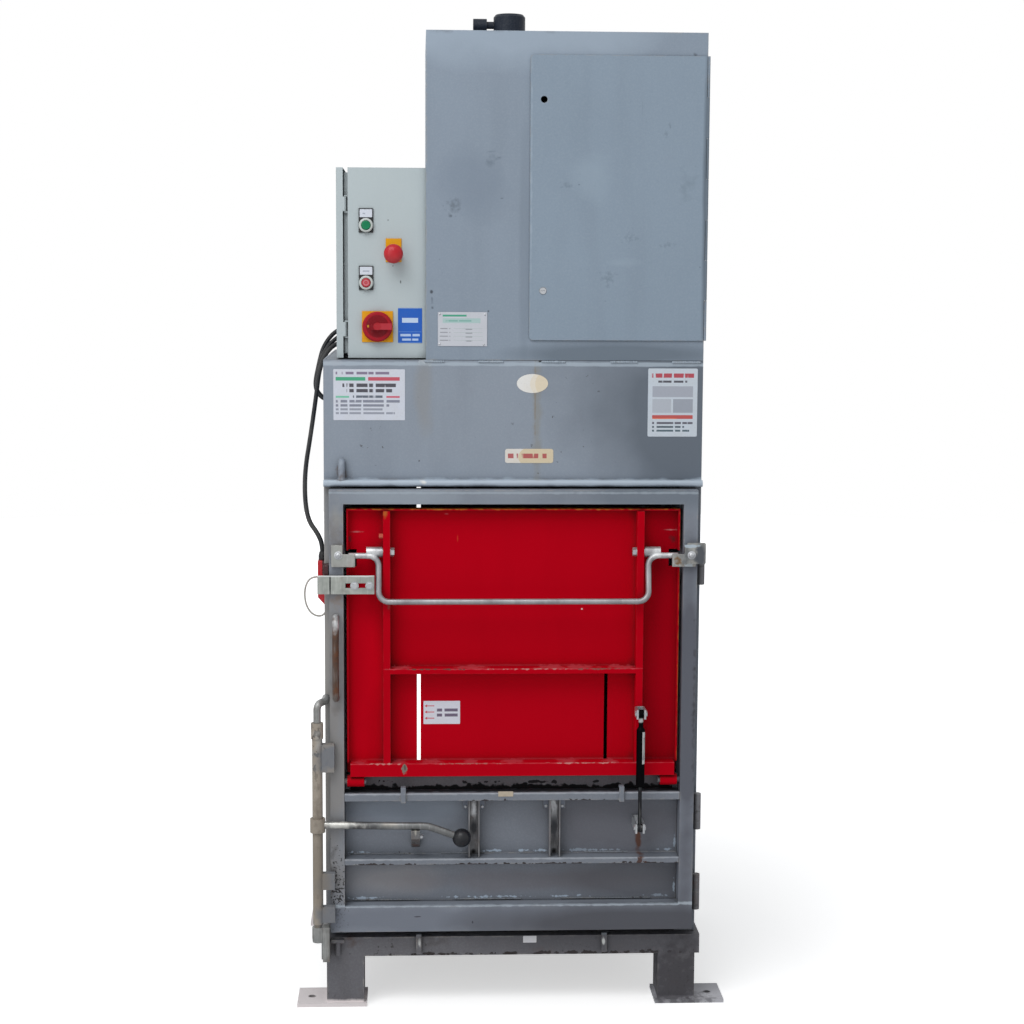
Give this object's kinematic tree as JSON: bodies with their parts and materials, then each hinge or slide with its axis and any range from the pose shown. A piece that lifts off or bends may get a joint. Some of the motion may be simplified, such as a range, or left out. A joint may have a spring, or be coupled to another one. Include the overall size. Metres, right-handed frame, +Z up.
{
  "type": "recycling baler",
  "caption": "Vertical recycling baler: welded chamber with hinged door and loading flap, overhead ram cabinet and side control box.",
  "frame": {"origin": "on the floor, midway between the outermost points left to right and front to back", "axes": "+X is the right-hand side seen from the front, +Y runs to the back, +Z is up"},
  "size_m": [0.924, 0.71, 2.14],
  "materials": {
    "grey_paint": "semi-gloss, chipped",
    "body_paint": "semi-gloss",
    "cabinet_paint": "semi-gloss",
    "box_paint": "powder coat",
    "red_paint": "gloss, chipped",
    "bare_steel": "worn",
    "zinc_steel": "zinc plated",
    "rusty_steel": "rusty",
    "polished_rod": "polished",
    "black_metal": "satin",
    "motor_paint": "satin",
    "black_plastic": "matte",
    "white_plastic": "gloss",
    "red_plastic": "gloss",
    "green_plastic": "gloss",
    "yellow_plate": "gloss",
    "cable_jacket": "matte"
  },
  "bodies": {
    "baler_frame": {"base_frame": "grey_paint", "chamber_floor": "bare_steel", "side_wall_left": "body_paint", "side_wall_right": "body_paint", "back_wall": "body_paint", "upper_housing": "body_paint", "top_plate": "body_paint", "cabinet_shell": "cabinet_paint", "cylinder_barrel": "black_metal", "cylinder_cap": "black_metal", "oil_tank": "motor_paint", "pump_motor": "motor_paint", "valve_block": "black_metal", "oil_pipes": "black_metal", "enclosure_box": "box_paint", "contactor_plate": "zinc_steel", "yellow_plates": "yellow_plate", "switch_bodies": "black_plastic", "button_bezels": "white_plastic", "cable_glands": "black_plastic", "cable_switch": "cable_jacket", "cable_side": "cable_jacket", "cable_rear": "cable_jacket", "safety_switch": "red_plastic", "tether_loop": "white_plastic", "hinge_posts": "grey_paint", "lock_bearings": "rusty_steel"},
    "bale_door": {"door_frame": "grey_paint", "door_panel": "grey_paint", "sill_strip": "black_metal", "strap_guides": "bare_steel", "door_pull": "rusty_steel", "lever_rest": "rusty_steel", "hinge_sleeves": "grey_paint", "flap_keepers": "bare_steel", "spring_bracket": "zinc_steel"},
    "loading_flap": {"flap_panel": "red_paint", "flap_frame": "red_paint", "handle_bolts": "zinc_steel", "interlock_bracket": "zinc_steel", "bracket_screws": "zinc_steel", "spring_ears": "zinc_steel"},
    "latch_handle": {"flap_handle": "bare_steel"},
    "lock": {"lock_shaft": "bare_steel", "lock_lever": "bare_steel", "lever_knob": "black_plastic"},
    "gas_spring_tube": {"spring_tube": "black_metal"},
    "gas_spring_rod": {"spring_rod": "polished_rod"},
    "ram": {"piston_rod": "polished_rod", "platen": "bare_steel"},
    "start_button": {"start_cap": "green_plastic"},
    "stop_button": {"stop_cap": "red_plastic"},
    "emergency_stop": {"estop_head": "red_plastic"},
    "main_switch": {"switch_handle": "red_plastic"},
    "box_door": {"enclosure_door": "box_paint"},
    "box_catch": {"enclosure_catch": "zinc_steel"},
    "cabinet_cover": {"access_cover": "cabinet_paint"},
    "cabinet_catch": {"cover_catch": "zinc_steel"}
  },
  "joints": [
    {"name": "bale_door_hinge", "type": "hinge", "parent": "baler_frame", "child": "bale_door", "pos_m": [0.399, -0.29, 0.65], "axis": [0, 0, 1], "range_deg": [0, 120]},
    {"name": "flap_hinge", "type": "hinge", "parent": "bale_door", "child": "loading_flap", "pos_m": [0, -0.3, 0.497], "axis": [1, 0, 0], "range_deg": [0, 60]},
    {"name": "handle_pivot", "type": "hinge", "parent": "loading_flap", "child": "latch_handle", "pos_m": [0, -0.304, 0.99], "axis": [-1, 0, 0], "range_deg": [0, 100]},
    {"name": "lock_turn", "type": "hinge", "parent": "baler_frame", "child": "lock", "pos_m": [-0.414, -0.33, 0.4], "axis": [0, 0, -1], "range_deg": [0, 120]},
    {"name": "spring_tube_pivot", "type": "hinge", "parent": "loading_flap", "child": "gas_spring_tube", "pos_m": [0.269, -0.345, 0.65], "axis": [1, 0, 0], "range_deg": [-21, 0]},
    {"name": "spring_rod_pivot", "type": "hinge", "parent": "bale_door", "child": "gas_spring_rod", "pos_m": [0.269, -0.345, 0.403], "axis": [1, 0, 0], "range_deg": [0, 39]},
    {"name": "ram_stroke", "type": "slide", "parent": "baler_frame", "child": "ram", "axis": [0, 0, -1], "range_m": [0, 0.56]},
    {"name": "start_press", "type": "slide", "parent": "baler_frame", "child": "start_button", "axis": [0, 1, 0], "range_m": [0, 0.004], "stiffness_N_per_m": 300},
    {"name": "stop_press", "type": "slide", "parent": "baler_frame", "child": "stop_button", "axis": [0, 1, 0], "range_m": [0, 0.004], "stiffness_N_per_m": 300},
    {"name": "estop_press", "type": "slide", "parent": "baler_frame", "child": "emergency_stop", "axis": [0, 1, 0], "range_m": [0, 0.004]},
    {"name": "main_switch_turn", "type": "hinge", "parent": "baler_frame", "child": "main_switch", "pos_m": [-0.2865, -0.27, 1.4605], "axis": [0, 1, 0], "range_deg": [0, 90]},
    {"name": "box_door_hinge", "type": "hinge", "parent": "baler_frame", "child": "box_door", "pos_m": [-0.354, -0.251, 1.59], "axis": [0, 0, 1], "range_deg": [0, 105]},
    {"name": "box_catch_turn", "type": "hinge", "parent": "box_door", "child": "box_catch", "pos_m": [-0.372, 0, 1.592], "axis": [1, 0, 0], "range_deg": [0, 90]},
    {"name": "cover_hinge", "type": "hinge", "parent": "baler_frame", "child": "cabinet_cover", "pos_m": [0.402, -0.2725, 1.728], "axis": [0, 0, 1], "range_deg": [0, 110]},
    {"name": "cover_catch_turn", "type": "hinge", "parent": "cabinet_cover", "child": "cabinet_catch", "pos_m": [0.0595, -0.274, 1.537], "axis": [0, 1, 0], "range_deg": [0, 90]}
  ],
  "couplings": [
    {"joint": "spring_tube_pivot", "follows": "flap_hinge", "ratio": -0.35},
    {"joint": "spring_rod_pivot", "follows": "flap_hinge", "ratio": 0.65}
  ]
}
